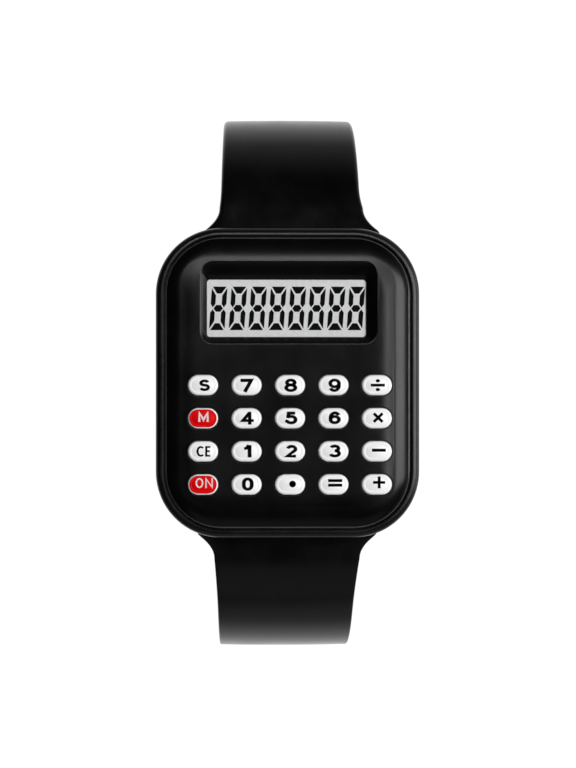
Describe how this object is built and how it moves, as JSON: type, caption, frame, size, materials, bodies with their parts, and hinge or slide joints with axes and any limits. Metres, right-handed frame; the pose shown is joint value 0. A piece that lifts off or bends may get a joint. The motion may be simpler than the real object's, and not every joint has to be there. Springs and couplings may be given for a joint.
{
  "type": "calculator watch",
  "caption": "Wrist calculator with a rounded square case, sunken eight-digit display, pill-shaped keys and a moulded strap buckled into a loop.",
  "frame": {"origin": "centre of the case back's outer face, where the watch lies on the wrist", "axes": "+Z out of the dial, +Y to the buckle half of the strap (12 o'clock), +X to the right (3 o'clock)"},
  "size_m": [0.042, 0.088, 0.0552],
  "materials": {
    "case_black": "moulded plastic, satin black",
    "panel_black": "moulded plastic, semi-gloss black",
    "key_white": "moulded plastic, off-white",
    "key_red": "moulded plastic, red face with a white edge",
    "lcd_glass": "clear glass",
    "lcd_film": "grey polarising and reflecting film",
    "zebra_rubber": "layered conductive rubber",
    "keypad_rubber": "translucent grey silicone rubber",
    "board_green": "glass-fibre board with solder mask",
    "epoxy_black": "cast epoxy",
    "ceramic": "fired ceramic",
    "screw_steel": "plated steel",
    "can_steel": "stainless steel",
    "contact_brass": "plated spring brass",
    "silicone_black": "moulded silicone rubber, satin black",
    "buckle_black": "black painted alloy"
  },
  "bodies": {
    "case_and_strap": {"back_screws": "screw_steel", "battery_cell": "can_steel", "battery_contact_negative": "contact_brass", "battery_contact_positive": "contact_brass", "board_screws": "screw_steel", "buckle_bar": "can_steel", "capacitors": "ceramic", "case_back": "case_black", "chip_blob": "epoxy_black", "circuit_board": "board_green", "front_panel": "panel_black", "keeper_fixed": "silicone_black", "lcd_glass": "lcd_glass", "lcd_polariser": "lcd_film", "lcd_reflector": "lcd_film", "mid_case": "case_black", "quartz_crystal": "can_steel", "rubber_keypad": "keypad_rubber", "spring_bar_lower": "can_steel", "spring_bar_upper": "can_steel", "strap_lower": "silicone_black", "strap_upper": "silicone_black", "zebra_connector": "zebra_rubber"},
    "key_s_body": {"key_s": "key_white"},
    "key_7_body": {"key_7": "key_white"},
    "key_8_body": {"key_8": "key_white"},
    "key_9_body": {"key_9": "key_white"},
    "key_divide_body": {"key_divide": "key_white"},
    "key_m_body": {"key_m": "key_red"},
    "key_4_body": {"key_4": "key_white"},
    "key_5_body": {"key_5": "key_white"},
    "key_6_body": {"key_6": "key_white"},
    "key_multiply_body": {"key_multiply": "key_white"},
    "key_ce_body": {"key_ce": "key_white"},
    "key_1_body": {"key_1": "key_white"},
    "key_2_body": {"key_2": "key_white"},
    "key_3_body": {"key_3": "key_white"},
    "key_minus_body": {"key_minus": "key_white"},
    "key_on_body": {"key_on": "key_red"},
    "key_0_body": {"key_0": "key_white"},
    "key_point_body": {"key_point": "key_white"},
    "key_equals_body": {"key_equals": "key_white"},
    "key_plus_body": {"key_plus": "key_white"},
    "buckle_frame_body": {"buckle_frame": "buckle_black"},
    "tang_body": {"buckle_tang": "buckle_black"},
    "loose_keeper_body": {"keeper_loose": "silicone_black"}
  },
  "joints": [
    {"name": "key_s_press", "type": "slide", "parent": "case_and_strap", "child": "key_s_body", "axis": [0, 0, -1], "range_m": [0, 0.0006], "stiffness_N_per_m": 200, "deforming": ["rubber_keypad"]},
    {"name": "key_7_press", "type": "slide", "parent": "case_and_strap", "child": "key_7_body", "axis": [0, 0, -1], "range_m": [0, 0.0006], "stiffness_N_per_m": 200, "deforming": ["rubber_keypad"]},
    {"name": "key_8_press", "type": "slide", "parent": "case_and_strap", "child": "key_8_body", "axis": [0, 0, -1], "range_m": [0, 0.0006], "stiffness_N_per_m": 200, "deforming": ["rubber_keypad"]},
    {"name": "key_9_press", "type": "slide", "parent": "case_and_strap", "child": "key_9_body", "axis": [0, 0, -1], "range_m": [0, 0.0006], "stiffness_N_per_m": 200, "deforming": ["rubber_keypad"]},
    {"name": "key_divide_press", "type": "slide", "parent": "case_and_strap", "child": "key_divide_body", "axis": [0, 0, -1], "range_m": [0, 0.0006], "stiffness_N_per_m": 200, "deforming": ["rubber_keypad"]},
    {"name": "key_m_press", "type": "slide", "parent": "case_and_strap", "child": "key_m_body", "axis": [0, 0, -1], "range_m": [0, 0.0006], "stiffness_N_per_m": 200, "deforming": ["rubber_keypad"]},
    {"name": "key_4_press", "type": "slide", "parent": "case_and_strap", "child": "key_4_body", "axis": [0, 0, -1], "range_m": [0, 0.0006], "stiffness_N_per_m": 200, "deforming": ["rubber_keypad"]},
    {"name": "key_5_press", "type": "slide", "parent": "case_and_strap", "child": "key_5_body", "axis": [0, 0, -1], "range_m": [0, 0.0006], "stiffness_N_per_m": 200, "deforming": ["rubber_keypad"]},
    {"name": "key_6_press", "type": "slide", "parent": "case_and_strap", "child": "key_6_body", "axis": [0, 0, -1], "range_m": [0, 0.0006], "stiffness_N_per_m": 200, "deforming": ["rubber_keypad"]},
    {"name": "key_multiply_press", "type": "slide", "parent": "case_and_strap", "child": "key_multiply_body", "axis": [0, 0, -1], "range_m": [0, 0.0006], "stiffness_N_per_m": 200, "deforming": ["rubber_keypad"]},
    {"name": "key_ce_press", "type": "slide", "parent": "case_and_strap", "child": "key_ce_body", "axis": [0, 0, -1], "range_m": [0, 0.0006], "stiffness_N_per_m": 200, "deforming": ["rubber_keypad"]},
    {"name": "key_1_press", "type": "slide", "parent": "case_and_strap", "child": "key_1_body", "axis": [0, 0, -1], "range_m": [0, 0.0006], "stiffness_N_per_m": 200, "deforming": ["rubber_keypad"]},
    {"name": "key_2_press", "type": "slide", "parent": "case_and_strap", "child": "key_2_body", "axis": [0, 0, -1], "range_m": [0, 0.0006], "stiffness_N_per_m": 200, "deforming": ["rubber_keypad"]},
    {"name": "key_3_press", "type": "slide", "parent": "case_and_strap", "child": "key_3_body", "axis": [0, 0, -1], "range_m": [0, 0.0006], "stiffness_N_per_m": 200, "deforming": ["rubber_keypad"]},
    {"name": "key_minus_press", "type": "slide", "parent": "case_and_strap", "child": "key_minus_body", "axis": [0, 0, -1], "range_m": [0, 0.0006], "stiffness_N_per_m": 200, "deforming": ["rubber_keypad"]},
    {"name": "key_on_press", "type": "slide", "parent": "case_and_strap", "child": "key_on_body", "axis": [0, 0, -1], "range_m": [0, 0.0006], "stiffness_N_per_m": 200, "deforming": ["rubber_keypad"]},
    {"name": "key_0_press", "type": "slide", "parent": "case_and_strap", "child": "key_0_body", "axis": [0, 0, -1], "range_m": [0, 0.0006], "stiffness_N_per_m": 200, "deforming": ["rubber_keypad"]},
    {"name": "key_point_press", "type": "slide", "parent": "case_and_strap", "child": "key_point_body", "axis": [0, 0, -1], "range_m": [0, 0.0006], "stiffness_N_per_m": 200, "deforming": ["rubber_keypad"]},
    {"name": "key_equals_press", "type": "slide", "parent": "case_and_strap", "child": "key_equals_body", "axis": [0, 0, -1], "range_m": [0, 0.0006], "stiffness_N_per_m": 200, "deforming": ["rubber_keypad"]},
    {"name": "key_plus_press", "type": "slide", "parent": "case_and_strap", "child": "key_plus_body", "axis": [0, 0, -1], "range_m": [0, 0.0006], "stiffness_N_per_m": 200, "deforming": ["rubber_keypad"]},
    {"name": "buckle_frame_hinge", "type": "hinge", "parent": "case_and_strap", "child": "buckle_frame_body", "pos_m": [0, -0.002, -0.03786], "axis": [1, 0, 0], "range_deg": [0, 10]},
    {"name": "tang_hinge", "type": "hinge", "parent": "buckle_frame_body", "child": "tang_body", "pos_m": [0, -0.002, -0.03786], "axis": [1, 0, 0], "range_deg": [0, 12]},
    {"name": "loose_keeper_slide", "type": "slide", "parent": "case_and_strap", "child": "loose_keeper_body", "axis": [0, 1, 0], "range_m": [-0.0015, 0.003]}
  ]
}
